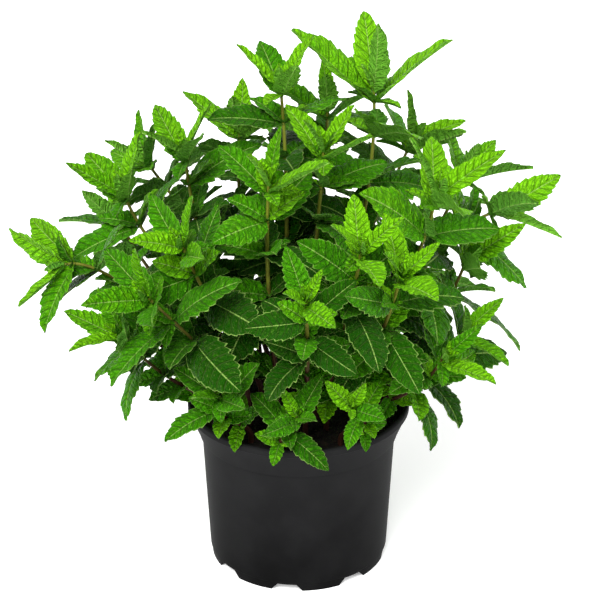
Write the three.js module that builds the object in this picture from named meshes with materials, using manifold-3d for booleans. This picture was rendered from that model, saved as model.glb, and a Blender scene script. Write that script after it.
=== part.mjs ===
// A mint plant in a round nursery pot, in millimetres, +Z up.
// The origin is the middle of the pot's underside. The front is towards -Y.
import * as THREE from "three";
import { mergeVertices } from "three/addons/utils/BufferGeometryUtils.js";
import Module from "manifold-3d";

const wasm = await Module();
wasm.setup();

// ---- driving dimensions ----

const RIM_RADIUS = 65; // a 13 cm pot
const POT_HEIGHT = 100;
const WALL = 1.7;
const LIP_HEIGHT = 4.5; // the rolled edge round the mouth
const COLLAR_HEIGHT = 20.5; // the flared band under the mouth
const COLLAR_FOOT_RADIUS = 58.2;
const BODY_TOP_RADIUS = 56.8;
const BODY_FOOT_RADIUS = 53;
const FOOT_RADIUS = 52; // the band that stands on the table
const FOOT_HEIGHT = 5;
const FLOOR_RAISE = 2.4; // the underside between the foot and the middle pad stands this high
const PAD_RADIUS = 26; // the flat pad in the middle of the underside
const DRAINS = 8; // notches through the foot, where water runs out
const DRAIN_TURN = -97.5; // degrees, where the first notch is
const DRAIN_WIDTH = 20; // along the table
const DRAIN_TOP_WIDTH = 11;
const DRAIN_DEPTH = 8;
const ROUND = 36; // sides of a round

const SOIL_TOP = 92.5;
const SOIL_CROWN = 1.6; // the soil is this much higher in the middle
const PEG = 18; // length of a stem below the soil
const BARE_FOOT = 14; // no leaf grows nearer to the soil than this, along its stem
const BUD_LENGTH = 1.5; // from the tip of a stem to its first pair of leaves
const UPRIGHT = 2.6; // a stem bends only above this height over the soil's edge
const FIT = 0.35; // clearance between touching pieces

const STEM_FOOT_RADIUS = 1.7;
const STEM_TIP_RADIUS = 0.8;
const STEM_SIDES = 4;
const STEM_STEP = 26; // the longest straight length in the bare part of a stem
const STEM_RISE = 0.35; // a stem sets out straight up, towards a point at this share of its height

const BLADE_THICKNESS = 0.85;
const BLADE_CLEARANCE = 2.3; // nearest that points of two blades of different stems may come
const OWN_CLEARANCE = 1.15; // the same between leaves of one stem
const STEM_CLEARANCE = 2.5; // nearest that a blade may come to another stem's middle line
const POT_CLEARANCE = 2; // nearest that a leaf may come to the soil or the rim
const LATTICE = 2.6; // spacing of the points at which blades are tested against each other
const SMALL_LEAF = 56; // a leaf shorter than this has a plainer outline

// From the tip of a stem down: the length of each pair and the distance to the next, as shares of
// the stem's largest leaves, a leaf's half width as a share of its length, the angle in degrees
// between a leaf's root and its stem, and how far a leaf bends over its length, in radians.
const PAIR_LENGTH = [0, 0.92, 1, 1, 0.94, 0.86, 0.78];
const PAIR_SPACING = [0.1, 0.34, 0.46, 0.54, 0.58, 0.6, 0.6];
const PAIR_WIDTH = [0.17, 0.2, 0.22, 0.24, 0.26, 0.27, 0.28];
const PAIR_SPREAD = [30, 50, 64, 72, 78, 82, 84];
const PAIR_ARCH = [0.12, 0.28, 0.55, 0.8, 1, 1.1, 1.1];

// Where a leaf first tried would cross another, it is turned, raised, rolled or made smaller.
const TRIES = [
  [0, 0, 0, 1],
  [16, 0, 0, 1],
  [-16, 0, 0, 1],
  [0, 14, 0, 1],
  [0, -14, 0, 1],
  [0, 0, 22, 1],
  [0, 0, -22, 1],
  [28, 10, 0, 0.94],
  [-28, 10, 0, 0.94],
  [24, -16, 12, 0.9],
  [-24, -16, -12, 0.9],
  [0, 30, 0, 0.86],
  [0, -30, 0, 0.86],
  [40, 0, 25, 0.8],
  [-40, 0, -25, 0.8],
  [12, 20, 30, 0.68],
  [-12, -20, -30, 0.68],
  [0, -34, 0, 0.55],
  [30, 24, 0, 0.55],
  [-30, 24, 0, 0.55],
];

// Each leafy stem: where it leaves the soil, the point it leans towards on its way, its tip, the length
// of its largest leaves, the share of that length which the pair at its tip has, how many pairs it has,
// how the pair at its tip is turned in degrees, how strongly its leaves face the light, and the seed
// of its draws.
const STEMS = [
  [[20, 12], [46, 30, 200], [43, 40, 276], 58, 1, 6, 100, 0.1, 207],
  [[-8, 16], [-4, 22, 210], [-10, 30, 282], 46, 0.85, 6, 0, 0.1, 206],
  [[30, -6], [66, -14, 170], [76, -16, 234], 54, 0.85, 6, 10, 0.3, 213],
  [[37, 16], [90, 29, 206], [116, 31, 205], 50, 0.9, 5, 0, 0.0, 201],
  [[-30, 2], [-86, 8, 184], [-99, 10, 226], 48, 0.85, 5, 10, 0.1, 206],
  [[-40, -10], [-106, -21, 203], [-130, -25, 197], 42, 0.95, 4, -10, 0.0, 224],
  [[-12, -22], [-20, -36, 180], [-16, -37, 250], 48, 0.7, 6, 70, 0.2, 107],
  [[4, -34], [6, -78, 150], [4, -100, 210], 36, 0.6, 5, 30, 0.3, 108],
  [[16, -26], [26, -60, 160], [33, -75, 226], 42, 0.75, 5, 10, 0.2, 213],
  [[32, -24], [42, -62, 150], [55, -72, 212], 44, 0.7, 5, 20, 0.3, 215],
  [[-28, -20], [-46, -44, 170], [-62, -58, 222], 46, 0.7, 5, 30, 0.4, 111],
  [[-36, -26], [-48, -66, 160], [-80, -76, 200], 46, 0.8, 4, 20, 0.6, 112],
  [[-34, 12], [-62, 34, 180], [-64, 18, 246], 46, 0.7, 5, 30, 0.3, 113],
  [[6, 34], [14, 52, 190], [17, 62, 256], 44, 0.8, 5, 90, 0.1, 217],
  [[-46, -22], [-70, -58, 130], [-96, -60, 170], 42, 0.8, 3, 60, 0.8, 115],
  [[43, -18], [66, -44, 116], [80, -54, 154], 38, 0.8, 4, 45, 0.8, 116],
  [[-10, -50], [-16, -76, 100], [0, -78, 130], 30, 0.8, 3, -50, 0.8, 117],
  [[24, -42], [52, -60, 100], [28, -82, 138], 26, 0.8, 3, 60, 0.8, 118],
  [[-27, -40], [-50, -68, 116], [-42, -78, 144], 36, 0.8, 3, 40, 0.8, 119],
  [[48, 4], [88, 18, 142], [96, 10, 184], 54, 0.8, 4, 10, 0.6, 120],
  [[-17, 38], [-62, 84, 172], [-92, 90, 214], 48, 0.7, 5, 45, 0.3, 121],
  [[17, 44], [50, 92, 180], [68, 100, 222], 54, 0.7, 4, 30, 0.3, 122],
  [[43, 27], [80, 76, 160], [100, 84, 208], 48, 0.7, 4, 60, 0.3, 212],
  [[0, 50], [-14, 110, 160], [-10, 132, 204], 48, 0.7, 4, 15, 0.4, 124],
  [[-43, 24], [-88, 62, 140], [-108, 74, 182], 50, 0.7, 4, 50, 0.4, 125],
  [[4, 4], [10, -6, 190], [14, -8, 258], 48, 0.65, 5, 45, 0.3, 126],
  [[-22, 22], [-40, 58, 190], [-34, 60, 244], 46, 0.7, 5, 70, 0.3, 127],
  [[30, 40], [66, 104, 110], [66, 116, 150], 48, 0.7, 3, 20, 0.7, 128],
  [[-32, 37], [-54, 100, 110], [-60, 112, 146], 48, 0.7, 3, 20, 0.7, 129],
  [[-20, -4], [-44, -6, 140], [-56, -14, 182], 40, 0.7, 4, 30, 0.3, 130],
  [[10, -12], [16, -24, 140], [18, -36, 186], 38, 0.7, 4, 60, 0.3, 131],
  [[47, -7], [80, -8, 110], [94, -14, 150], 42, 0.7, 4, 45, 0.5, 132],
  [[-44, 6], [-80, 0, 120], [-92, -10, 160], 42, 0.7, 4, 10, 0.5, 133],
].map((row) => {
  const [foot, lean, tip, long, crown, pairs, turn, sky, seed] = row;
  return { foot, lean, tip, long, crown, pairs, turn, sky, seed };
});

const OUTWARD = 90; // this far from the pot's middle the leaves face as much outwards as up
const WINDOW = 0.5; // how much the light that leaves roll towards comes from the front, against from above
const FACING = 0.5; // the share of the way that a leaf rolls towards that light
const FULLNESS = 0.76; // a smaller power makes a leaf fuller towards its ends

// ---- colours ----

const potPlastic = new THREE.MeshStandardMaterial({ color: 0x2c2d2f, roughness: 0.55, metalness: 0 });
const pottingSoil = new THREE.MeshStandardMaterial({ color: 0x1d1611, roughness: 1, metalness: 0 });
const mintGreen = new THREE.MeshStandardMaterial({ color: 0x3f9a22, roughness: 0.6, metalness: 0 });

// ---- small tools ----

const radians = (degrees) => (degrees * Math.PI) / 180;
const mix = (a, b, t) => a + (b - a) * t;

// A repeatable draw between 0 and 1.
function drawsFrom(seed) {
  let state = seed;
  const draw = () => {
    state = (state * 16807) % 2147483647;
    return state / 2147483647;
  };
  draw();
  draw();
  return draw;
}

// A closed geometry as a manifold solid, and back.
function solid(geometry) {
  const bare = geometry.clone();
  bare.deleteAttribute("normal");
  bare.deleteAttribute("uv");
  const merged = mergeVertices(bare, 1e-4);
  return new wasm.Manifold(
    new wasm.Mesh({
      numProp: 3,
      vertProperties: new Float32Array(merged.attributes.position.array),
      triVerts: new Uint32Array(merged.index.array),
    }),
  );
}

function geometryOf(manifold) {
  const mesh = manifold.getMesh();
  const geometry = new THREE.BufferGeometry();
  geometry.setAttribute("position", new THREE.BufferAttribute(mesh.vertProperties, 3));
  geometry.setIndex(new THREE.BufferAttribute(mesh.triVerts, 1));
  const flat = geometry.toNonIndexed();
  flat.computeVertexNormals();
  return flat;
}

function meshFrom(points, faces) {
  const geometry = new THREE.BufferGeometry();
  const numbers = points.flatMap((p) => [p.x, p.y, p.z]);
  geometry.setAttribute("position", new THREE.Float32BufferAttribute(numbers, 3));
  geometry.setIndex(faces);
  return geometry;
}

// A profile of [radius, height] points turned about the Z axis.
function turned(profile, sides) {
  const lathe = new THREE.LatheGeometry(profile.map(([r, z]) => new THREE.Vector2(r, z)), sides);
  return lathe.rotateX(Math.PI / 2);
}

// ---- pot ----

function potSolid() {
  const collarFoot = POT_HEIGHT - COLLAR_HEIGHT;
  const lipFoot = POT_HEIGHT - LIP_HEIGHT;
  const inner = BODY_TOP_RADIUS - WALL;
  const profile = [
    [0, 0],
    [PAD_RADIUS, 0],
    [PAD_RADIUS + FLOOR_RAISE, FLOOR_RAISE],
    [FOOT_RADIUS - 3.4, FLOOR_RAISE],
    [FOOT_RADIUS - 2.4, 0],
    [FOOT_RADIUS, 0],
    [FOOT_RADIUS + 0.3, FOOT_HEIGHT],
    [BODY_FOOT_RADIUS, FOOT_HEIGHT + 1],
    [BODY_TOP_RADIUS, collarFoot],
    [COLLAR_FOOT_RADIUS, collarFoot + 0.8],
    [RIM_RADIUS - 1, lipFoot],
    [RIM_RADIUS, lipFoot + 1],
    [RIM_RADIUS - 0.5, POT_HEIGHT],
    [RIM_RADIUS - 2.6, POT_HEIGHT],
    [inner, collarFoot - 1],
    [BODY_FOOT_RADIUS - WALL, FLOOR_RAISE + WALL],
    [0, FLOOR_RAISE + WALL],
  ];
  let pot = solid(turned(profile, ROUND));
  for (let i = 0; i < DRAINS; i++) {
    const angle = radians(DRAIN_TURN + (i * 360) / DRAINS);
    pot = pot.subtract(solid(drainNotch(angle)));
  }
  return pot;
}

// A notch with sloping ends in the pot's foot.
function drainNotch(angle) {
  const half = DRAIN_WIDTH / 2;
  const topHalf = DRAIN_TOP_WIDTH / 2;
  const outline = new THREE.Shape([
    new THREE.Vector2(-half, -1),
    new THREE.Vector2(half, -1),
    new THREE.Vector2(topHalf, FOOT_HEIGHT - 0.7),
    new THREE.Vector2(-topHalf, FOOT_HEIGHT - 0.7),
  ]);
  const notch = new THREE.ExtrudeGeometry(outline, { depth: DRAIN_DEPTH, bevelEnabled: false });
  notch.rotateX(Math.PI / 2);
  notch.rotateZ(Math.PI / 2);
  notch.translate(FOOT_RADIUS - DRAIN_DEPTH + 0.8, 0, 0);
  notch.rotateZ(angle);
  return notch;
}

// ---- soil ----

function soilSolid() {
  const collarFoot = POT_HEIGHT - COLLAR_HEIGHT;
  const share = (SOIL_TOP - collarFoot + 1) / (COLLAR_HEIGHT + 1);
  const mouth = mix(BODY_TOP_RADIUS - WALL, RIM_RADIUS - 2.6, share);
  const floor = FLOOR_RAISE + WALL + FIT;
  const profile = [
    [0, floor],
    [BODY_FOOT_RADIUS - WALL - FIT, floor],
    [BODY_TOP_RADIUS - WALL - FIT, collarFoot - 1],
    [mouth - FIT - 0.2, SOIL_TOP],
    [mouth * 0.6, SOIL_TOP + SOIL_CROWN * 0.7],
    [0, SOIL_TOP + SOIL_CROWN],
  ];
  let soil = solid(turned(profile, 24));
  for (const stem of STEMS) {
    const wide = 2 * (STEM_FOOT_RADIUS + FIT);
    const deep = PEG + FIT + 2 * SOIL_CROWN;
    const hole = new THREE.BoxGeometry(wide, wide, deep);
    hole.translate(stem.foot[0], stem.foot[1], SOIL_TOP - PEG - FIT + deep / 2);
    soil = soil.subtract(solid(hole));
  }
  return soil;
}

// ---- stems ----

// A stem stands upright in the soil, then curves over its lean point to its tip.
function stemPath(stem) {
  const root = new THREE.Vector3(stem.foot[0], stem.foot[1], SOIL_TOP + UPRIGHT);
  const rise = root.clone().setZ(mix(SOIL_TOP, stem.tip[2], STEM_RISE));
  const curve = new THREE.CubicBezierCurve3(
    root,
    rise,
    new THREE.Vector3(...stem.lean),
    new THREE.Vector3(...stem.tip),
  );
  const points = [];
  for (let i = 0; i <= 80; i++) points.push(curve.getPoint(i / 80));
  const run = [0];
  for (let i = 1; i < points.length; i++) run.push(run[i - 1] + points[i].distanceTo(points[i - 1]));
  return { points, run, length: run[run.length - 1] };
}

// The place and direction of a stem at a distance from its tip.
function onStem(path, fromTip) {
  const at = path.length - fromTip;
  let i = 1;
  while (i < path.run.length - 1 && path.run[i] < at) i++;
  const share = (at - path.run[i - 1]) / (path.run[i] - path.run[i - 1]);
  const place = path.points[i - 1].clone().lerp(path.points[i], share);
  const along = path.points[i].clone().sub(path.points[i - 1]).normalize();
  return { place, along };
}

// How far from the tip of a stem each of its pairs of leaves grows.
function pairPlaces(stem, path) {
  const places = [];
  let fromTip = BUD_LENGTH;
  for (let pair = 0; pair < stem.pairs && fromTip < path.length - BARE_FOOT; pair++) {
    places.push(fromTip);
    fromTip += stem.long * PAIR_SPACING[pair];
  }
  return places;
}

// The stem has a corner wherever leaves grow from it, so that every leaf is rooted in it.
function stemSolid(stem, path) {
  const pairs = pairPlaces(stem, path);
  const bare = path.length - pairs[pairs.length - 1];
  const steps = Math.ceil(bare / STEM_STEP);
  const corners = [];
  for (let i = 0; i < steps; i++) corners.push(path.length - (bare * i) / steps);
  corners.push(...pairs.slice(1).reverse(), 0);
  const spine = [path.points[0].clone().setZ(SOIL_TOP - PEG)];
  corners.forEach((fromTip) => spine.push(onStem(path, fromTip).place));
  const points = [];
  let across = new THREE.Vector3(1, 0, 0);
  spine.forEach((p, i) => {
    const ahead = spine[Math.min(i + 1, spine.length - 1)].clone().sub(spine[Math.max(i - 1, 0)]).normalize();
    across.addScaledVector(ahead, -across.dot(ahead)).normalize();
    const side = ahead.clone().cross(across);
    const fromTip = i === 0 ? path.length : corners[i - 1];
    const radius = mix(STEM_TIP_RADIUS, STEM_FOOT_RADIUS, fromTip / path.length);
    for (let k = 0; k < STEM_SIDES; k++) {
      const turn = (2 * Math.PI * k) / STEM_SIDES;
      const corner = p.clone().addScaledVector(across, radius * Math.cos(turn));
      points.push(corner.addScaledVector(side, radius * Math.sin(turn)));
    }
  });
  const faces = [];
  const rings = spine.length;
  for (let i = 0; i < rings - 1; i++)
    for (let k = 0; k < STEM_SIDES; k++) {
      const a = i * STEM_SIDES + k;
      const b = i * STEM_SIDES + ((k + 1) % STEM_SIDES);
      faces.push(a, b, b + STEM_SIDES, a, b + STEM_SIDES, a + STEM_SIDES);
    }
  for (let k = 1; k < STEM_SIDES - 1; k++) {
    faces.push(0, k + 1, k);
    const last = (rings - 1) * STEM_SIDES;
    faces.push(last, last + k, last + k + 1);
  }
  return solid(meshFrom(points, faces));
}

// ---- leaves ----

// Half width of a leaf along its length, as a share of the widest half width.
function leafShape(s) {
  return Math.pow(Math.sin(Math.PI * Math.pow(s, 0.8)), FULLNESS);
}

// A point of a leaf: s runs from its root to its tip, w from one edge to the other.
function leafPoint(leaf, s, w) {
  const bend = leaf.arch * s;
  const reach = leaf.arch === 0 ? s : Math.sin(bend) / leaf.arch;
  const drop = leaf.arch === 0 ? 0 : (1 - Math.cos(bend)) / leaf.arch;
  const half = leaf.half * w;
  const lift = leaf.fold * Math.abs(half) - (leaf.curl * half * half) / leaf.half;
  const sideways = half + leaf.sway * leaf.length * s * s;
  const up = Math.cos(bend);
  const forward = Math.sin(bend);
  return leaf.root
    .clone()
    .addScaledVector(leaf.out, leaf.length * reach + lift * forward)
    .addScaledVector(leaf.face, -leaf.length * drop + lift * up)
    .addScaledVector(leaf.side, sideways);
}

function leafNormal(leaf, s) {
  const bend = leaf.arch * s;
  return leaf.face.clone().multiplyScalar(Math.cos(bend)).addScaledVector(leaf.out, Math.sin(bend));
}

// The leaf's edge from root to tip, as [s, share of the half width], with its teeth.
const LARGE_EDGE = [[0.22, 1.04], [0.45, 1.05], [0.55, 0.84], [0.74, 1.12]];
const SMALL_EDGE = [[0.26, 1.04], [0.46, 0.84], [0.66, 1.1]];
const LARGE_RIB = [0.5];
const SMALL_RIB = [0.46];

// One closed blade: both faces are split into triangles alike, with a wall round the edge.
function bladeSolid(leaf) {
  const edge = leaf.length < SMALL_LEAF ? SMALL_EDGE : LARGE_EDGE;
  const rib = leaf.length < SMALL_LEAF ? SMALL_RIB : LARGE_RIB;
  const places = [[0, 0]];
  edge.forEach(([s, share]) => places.push([s, share * leafShape(s)]));
  places.push([1, 0]);
  [...edge].reverse().forEach(([s, share]) => places.push([s, -share * leafShape(s)]));
  const rim = places.length;
  rib.forEach((s) => places.push([s, 0]));

  const tip = edge.length + 1;
  const right = places.slice(1, tip + 1).map((_, i) => i + 1);
  const left = [...edge.map((_, i) => rim - 1 - i), tip];
  const middle = [...rib.map((_, i) => rim + i), tip];
  const halves = [
    [0, rim - 1, 1],
    [1, rim - 1, rim],
    ...strip(middle, right, places, true),
    ...strip(middle, left, places, false),
  ];

  const points = [];
  for (const face of [0.5, -0.5])
    places.forEach(([s, w], i) => {
      const offset = i === 0 ? 0 : face * BLADE_THICKNESS;
      points.push(leafPoint(leaf, s, w).addScaledVector(leafNormal(leaf, s), offset));
    });
  const faces = [];
  const under = places.length;
  for (const [a, b, c] of halves) {
    faces.push(a, b, c);
    faces.push(under + a, under + c, under + b);
  }
  for (let i = 0; i < rim; i++) {
    const j = (i + 1) % rim;
    if (i > 0) faces.push(i, under + j, under + i);
    if (j > 0) faces.push(i, j, under + j);
  }
  return solid(meshFrom(points, faces));
}

// Triangles between two chains of points that share their first and last point.
function strip(inner, outer, places, flip) {
  const made = [];
  let i = 0;
  let j = 0;
  while (i < inner.length - 1 || j < outer.length - 1) {
    const innerNext = i < inner.length - 1 ? places[inner[i + 1]][0] : 2;
    const outerNext = j < outer.length - 1 ? places[outer[j + 1]][0] : 2;
    let next;
    if (outerNext <= innerNext) {
      next = [inner[i], outer[j], outer[j + 1]];
      j++;
    } else {
      next = [inner[i], outer[j], inner[i + 1]];
      i++;
    }
    if (new Set(next).size === 3) made.push(flip ? [next[0], next[2], next[1]] : next);
  }
  return made;
}

// ---- growth ----

const blades = []; // the test points of every leaf that has grown
const stalks = []; // points along every stem

// The points at which a leaf is tested against the others.
function lattice(leaf) {
  const rows = Math.ceil((leaf.length * 0.84) / LATTICE);
  const columns = 2 * Math.ceil(leaf.half / LATTICE);
  const points = [];
  for (let i = 0; i <= rows; i++) {
    const s = 0.16 + (0.84 * i) / rows;
    const wide = 1.04 * leafShape(s);
    for (let j = 0; j <= columns; j++) points.push(leafPoint(leaf, s, wide * ((2 * j) / columns - 1)));
  }
  return points;
}

function isClear(points, stemIndex) {
  const low = new THREE.Vector3(Infinity, Infinity, Infinity);
  const high = new THREE.Vector3(-Infinity, -Infinity, -Infinity);
  for (const p of points) {
    low.min(p);
    high.max(p);
    const radius = Math.hypot(p.x, p.y);
    if (p.z < SOIL_TOP + SOIL_CROWN + POT_CLEARANCE && radius < RIM_RADIUS + POT_CLEARANCE) return false;
    if (p.z < POT_HEIGHT + POT_CLEARANCE && Math.abs(radius - RIM_RADIUS + 2) < 4) return false;
  }
  const near = (list, clearance) =>
    list.some(
      (other) =>
        other.x > low.x - clearance &&
        other.x < high.x + clearance &&
        other.y > low.y - clearance &&
        other.y < high.y + clearance &&
        other.z > low.z - clearance &&
        other.z < high.z + clearance &&
        points.some((p) => p.distanceToSquared(other) < clearance * clearance),
    );
  for (const blade of blades) {
    const own = blade.stem === stemIndex;
    if (near(blade.points, own ? OWN_CLEARANCE : BLADE_CLEARANCE)) return false;
  }
  return !stalks.some((stalk) => stalk.stem !== stemIndex && near(stalk.points, STEM_CLEARANCE));
}

// A leaf's own axes: out along its root, face up from its upper side, side across it.
function placeLeaf(node, sky, azimuth, spread, roll) {
  const outward = new THREE.Vector3(node.place.x, node.place.y, 0).divideScalar(OUTWARD).clampLength(0, 1);
  const light = outward.clone().setZ(1).normalize();
  const axis = node.along.clone().lerp(light, sky).normalize();
  const right = new THREE.Vector3(1, 0, 0).addScaledVector(axis, -axis.x).normalize();
  const back = axis.clone().cross(right);
  const away = right.multiplyScalar(Math.cos(azimuth)).addScaledVector(back, Math.sin(azimuth));
  const out = axis.clone().multiplyScalar(Math.cos(spread)).addScaledVector(away, Math.sin(spread));
  const face = axis.clone().multiplyScalar(Math.sin(spread)).addScaledVector(away, -Math.cos(spread));
  const level = face.clone().cross(out);
  const window = outward.clone().add(new THREE.Vector3(0, -WINDOW, 1)).normalize();
  const turn = Math.atan2(-level.dot(window), face.dot(window));
  face.applyAxisAngle(out, roll + FACING * turn);
  const side = face.clone().cross(out);
  return { root: node.place, out, face, side };
}

function growLeaf(stemIndex, stem, node, plan) {
  for (const [turn, raise, roll, size] of TRIES) {
    const length = plan.length * size;
    const azimuth = radians(plan.azimuth + turn);
    const spread = radians(plan.spread - raise);
    const leaf = {
      ...placeLeaf(node, stem.sky, azimuth, spread, radians(plan.roll + roll)),
      length,
      half: length * plan.width,
      arch: plan.arch,
      fold: plan.fold,
      curl: plan.curl,
      sway: plan.sway,
    };
    const points = lattice(leaf);
    if (isClear(points, stemIndex)) {
      blades.push({ stem: stemIndex, points });
      return leaf;
    }
  }
  return null;
}

function growStem(stem, stemIndex) {
  const draw = drawsFrom(stem.seed);
  const spreadOut = (range) => (draw() * 2 - 1) * range;
  const path = paths[stemIndex];
  const leaves = [];
  let azimuth = stem.turn;
  pairPlaces(stem, path).forEach((fromTip, pair) => {
    const node = onStem(path, fromTip);
    for (const half of [0, 180]) {
      const plan = {
        azimuth: azimuth + half + spreadOut(9),
        spread: PAIR_SPREAD[pair] + spreadOut(9),
        roll: spreadOut(24),
        length: stem.long * Math.max(stem.crown, PAIR_LENGTH[pair]) * (1 + spreadOut(0.1)),
        width: PAIR_WIDTH[pair] + spreadOut(0.025),
        arch: PAIR_ARCH[pair] + spreadOut(0.22),
        fold: pair < 2 ? 0.46 : 0.2 + spreadOut(0.14),
        curl: 0.1 + draw() * 0.2,
        sway: spreadOut(0.07),
      };
      const leaf = growLeaf(stemIndex, stem, node, plan);
      if (leaf) leaves.push(leaf);
    }
    azimuth += 90 + spreadOut(12);
  });
  return leaves;
}

const paths = STEMS.map(stemPath);
STEMS.forEach((stem, index) => {
  const path = paths[index];
  const points = [];
  for (let fromTip = 0; fromTip < path.length; fromTip += 2) points.push(onStem(path, fromTip).place);
  stalks.push({ stem: index, points });
});

// ---- assembly ----

const plant = new THREE.Group();

function addPiece(name, manifold, material) {
  const mesh = new THREE.Mesh(geometryOf(manifold), material);
  mesh.name = name;
  plant.add(mesh);
}

addPiece("pot", potSolid(), potPlastic);
addPiece("soil", soilSolid(), pottingSoil);
STEMS.forEach((stem, index) => {
  let leafy = stemSolid(stem, paths[index]);
  for (const leaf of growStem(stem, index)) leafy = leafy.add(bladeSolid(leaf));
  addPiece("stem_" + String(index + 1).padStart(2, "0"), leafy, mintGreen);
});

export default plant;
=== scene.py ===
"""A mint plant in its nursery pot, in metres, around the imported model."""

import math

import bmesh
import bpy
import numpy as np
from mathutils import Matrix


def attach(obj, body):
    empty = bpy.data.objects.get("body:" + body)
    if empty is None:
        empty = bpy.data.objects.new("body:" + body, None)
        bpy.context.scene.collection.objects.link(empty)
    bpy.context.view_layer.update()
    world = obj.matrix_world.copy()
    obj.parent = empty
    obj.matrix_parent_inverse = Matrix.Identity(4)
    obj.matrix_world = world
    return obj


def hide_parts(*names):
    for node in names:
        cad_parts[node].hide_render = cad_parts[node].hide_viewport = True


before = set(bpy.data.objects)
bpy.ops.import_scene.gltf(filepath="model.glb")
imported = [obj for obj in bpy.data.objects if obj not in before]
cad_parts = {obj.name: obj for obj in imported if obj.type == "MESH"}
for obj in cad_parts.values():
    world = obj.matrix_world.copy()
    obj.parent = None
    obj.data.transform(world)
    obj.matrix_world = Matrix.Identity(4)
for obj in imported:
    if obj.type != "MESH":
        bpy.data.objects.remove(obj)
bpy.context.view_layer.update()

# ---------------------------------------------------------------------------------------------
# Pot. A thin moulded plastic pot, charcoal black, painted with shade that darkens it towards its foot
# and with light that makes it a little paler towards its top, with a rolled lip, a flared collar and a
# foot with eight notches that let the water out. It stands on the foot and on a pad in the middle of
# its underside.
# ---------------------------------------------------------------------------------------------

MM = 0.001
RIM_RADIUS = 65
POT_HEIGHT = 100
WALL = 1.7
LIP_HEIGHT = 4.5
COLLAR_HEIGHT = 20.5
COLLAR_FOOT_RADIUS = 58.2
BODY_TOP_RADIUS = 56.8
BODY_FOOT_RADIUS = 53
FOOT_RADIUS = 52
FOOT_HEIGHT = 5
FOOT_RING = 2.4  # width of the ring that stands on the table
RING_SLOPE = 1  # the ring is this much wider at its top
FOOT_STEP = 0.8
FLOOR_RAISE = 2.4  # the underside between the ring and the pad stands this high
FLOOR_RING = 20  # the floor's inner side is drawn this far in from the wall
PAD_RADIUS = 26
DRAFT = 0.3  # how much a short band leans, and how far the foot of the lip is cut back
COLLAR_STEP = 0.5
COLLAR_BAND = 2
LEDGE_DROP = 1  # inside, the collar starts this far below its outer foot
LIP_STEP = 1
LIP_ROUND = 0.8
LIP_FLAT = 2.2  # the lip's flat top ends this far in from the rim
LIP_WIDTH = 2.8
LIP_DROP = 0.7
EDGE_ROUND = 0.35
SHARP_ANGLE = 28
SMOOTH_ANGLE = 32
POT_SIDES = 160

DRAINS = 8
DRAIN_TURN = -97.5
DRAIN_WIDTH = 20
DRAIN_TOP_WIDTH = 11
DRAIN_DEPTH = 9
DRAIN_ROOF = 0.7  # of the foot is left over a notch
DRAIN_BELOW = 1  # a cutter reaches this far under the table

# The pot's black and grey: painted shade and light run between them by height, as do a random cloud and
# dust specks.
POT_BLACK = (0.0035, 0.0035, 0.0036, 1)
POT_GREY = (0.0145, 0.0145, 0.015, 1)


class Wire:
    """A socket in a material's node tree that sums can be written with."""

    def __init__(self, tree, socket=None):
        self.tree = tree
        self.socket = socket

    def node(self, kind, settings, inputs, output=0):
        """A new node: its settings are made first, then its sockets get their values or links."""
        made = self.tree.nodes.new(kind)
        for name, value in settings.items():
            setattr(made, name, value)
        for name, value in inputs.items():
            if isinstance(value, Wire):
                self.tree.links.new(value.socket, made.inputs[name])
            else:
                made.inputs[name].default_value = value
        return Wire(self.tree, made.outputs[output] if made.outputs else None)

    def maths(self, operation, *values):
        return self.node("ShaderNodeMath", {"operation": operation}, dict(enumerate(values)))

    def __add__(self, other):
        return self.maths("ADD", self, other)

    def __radd__(self, other):
        return self.maths("ADD", other, self)

    def __sub__(self, other):
        return self.maths("SUBTRACT", self, other)

    def __rsub__(self, other):
        return self.maths("SUBTRACT", other, self)

    def __mul__(self, other):
        return self.maths("MULTIPLY", self, other)

    def __rmul__(self, other):
        return self.maths("MULTIPLY", other, self)

    def step(self, low, high):
        """0 below low, 1 above high, and a smooth rise between them."""
        ends = {"From Min": low, "From Max": high, "Value": self}
        return self.node("ShaderNodeMapRange", {"interpolation_type": "SMOOTHSTEP"}, ends)

    def mixed(self, first, second):
        """Two colours mixed by this wire's value."""
        return self.node("ShaderNodeMix", {"data_type": "RGBA"}, {0: self, 6: first, 7: second}, 2)


def new_paint(name):
    """An empty material and a wire to build it with."""
    paint = bpy.data.materials.new(name)
    paint.use_nodes = True
    paint.node_tree.nodes.clear()
    return paint, Wire(paint.node_tree)


def pick(*pieces):
    """Deselects everything, then selects these pieces and makes the last one active."""
    bpy.ops.object.select_all(action="DESELECT")
    for piece in pieces:
        piece.select_set(True)
        bpy.context.view_layer.objects.active = piece


def apply_modifiers(piece):
    pick(piece)
    for modifier in list(piece.modifiers):
        bpy.ops.object.modifier_apply(modifier=modifier.name)


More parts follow.
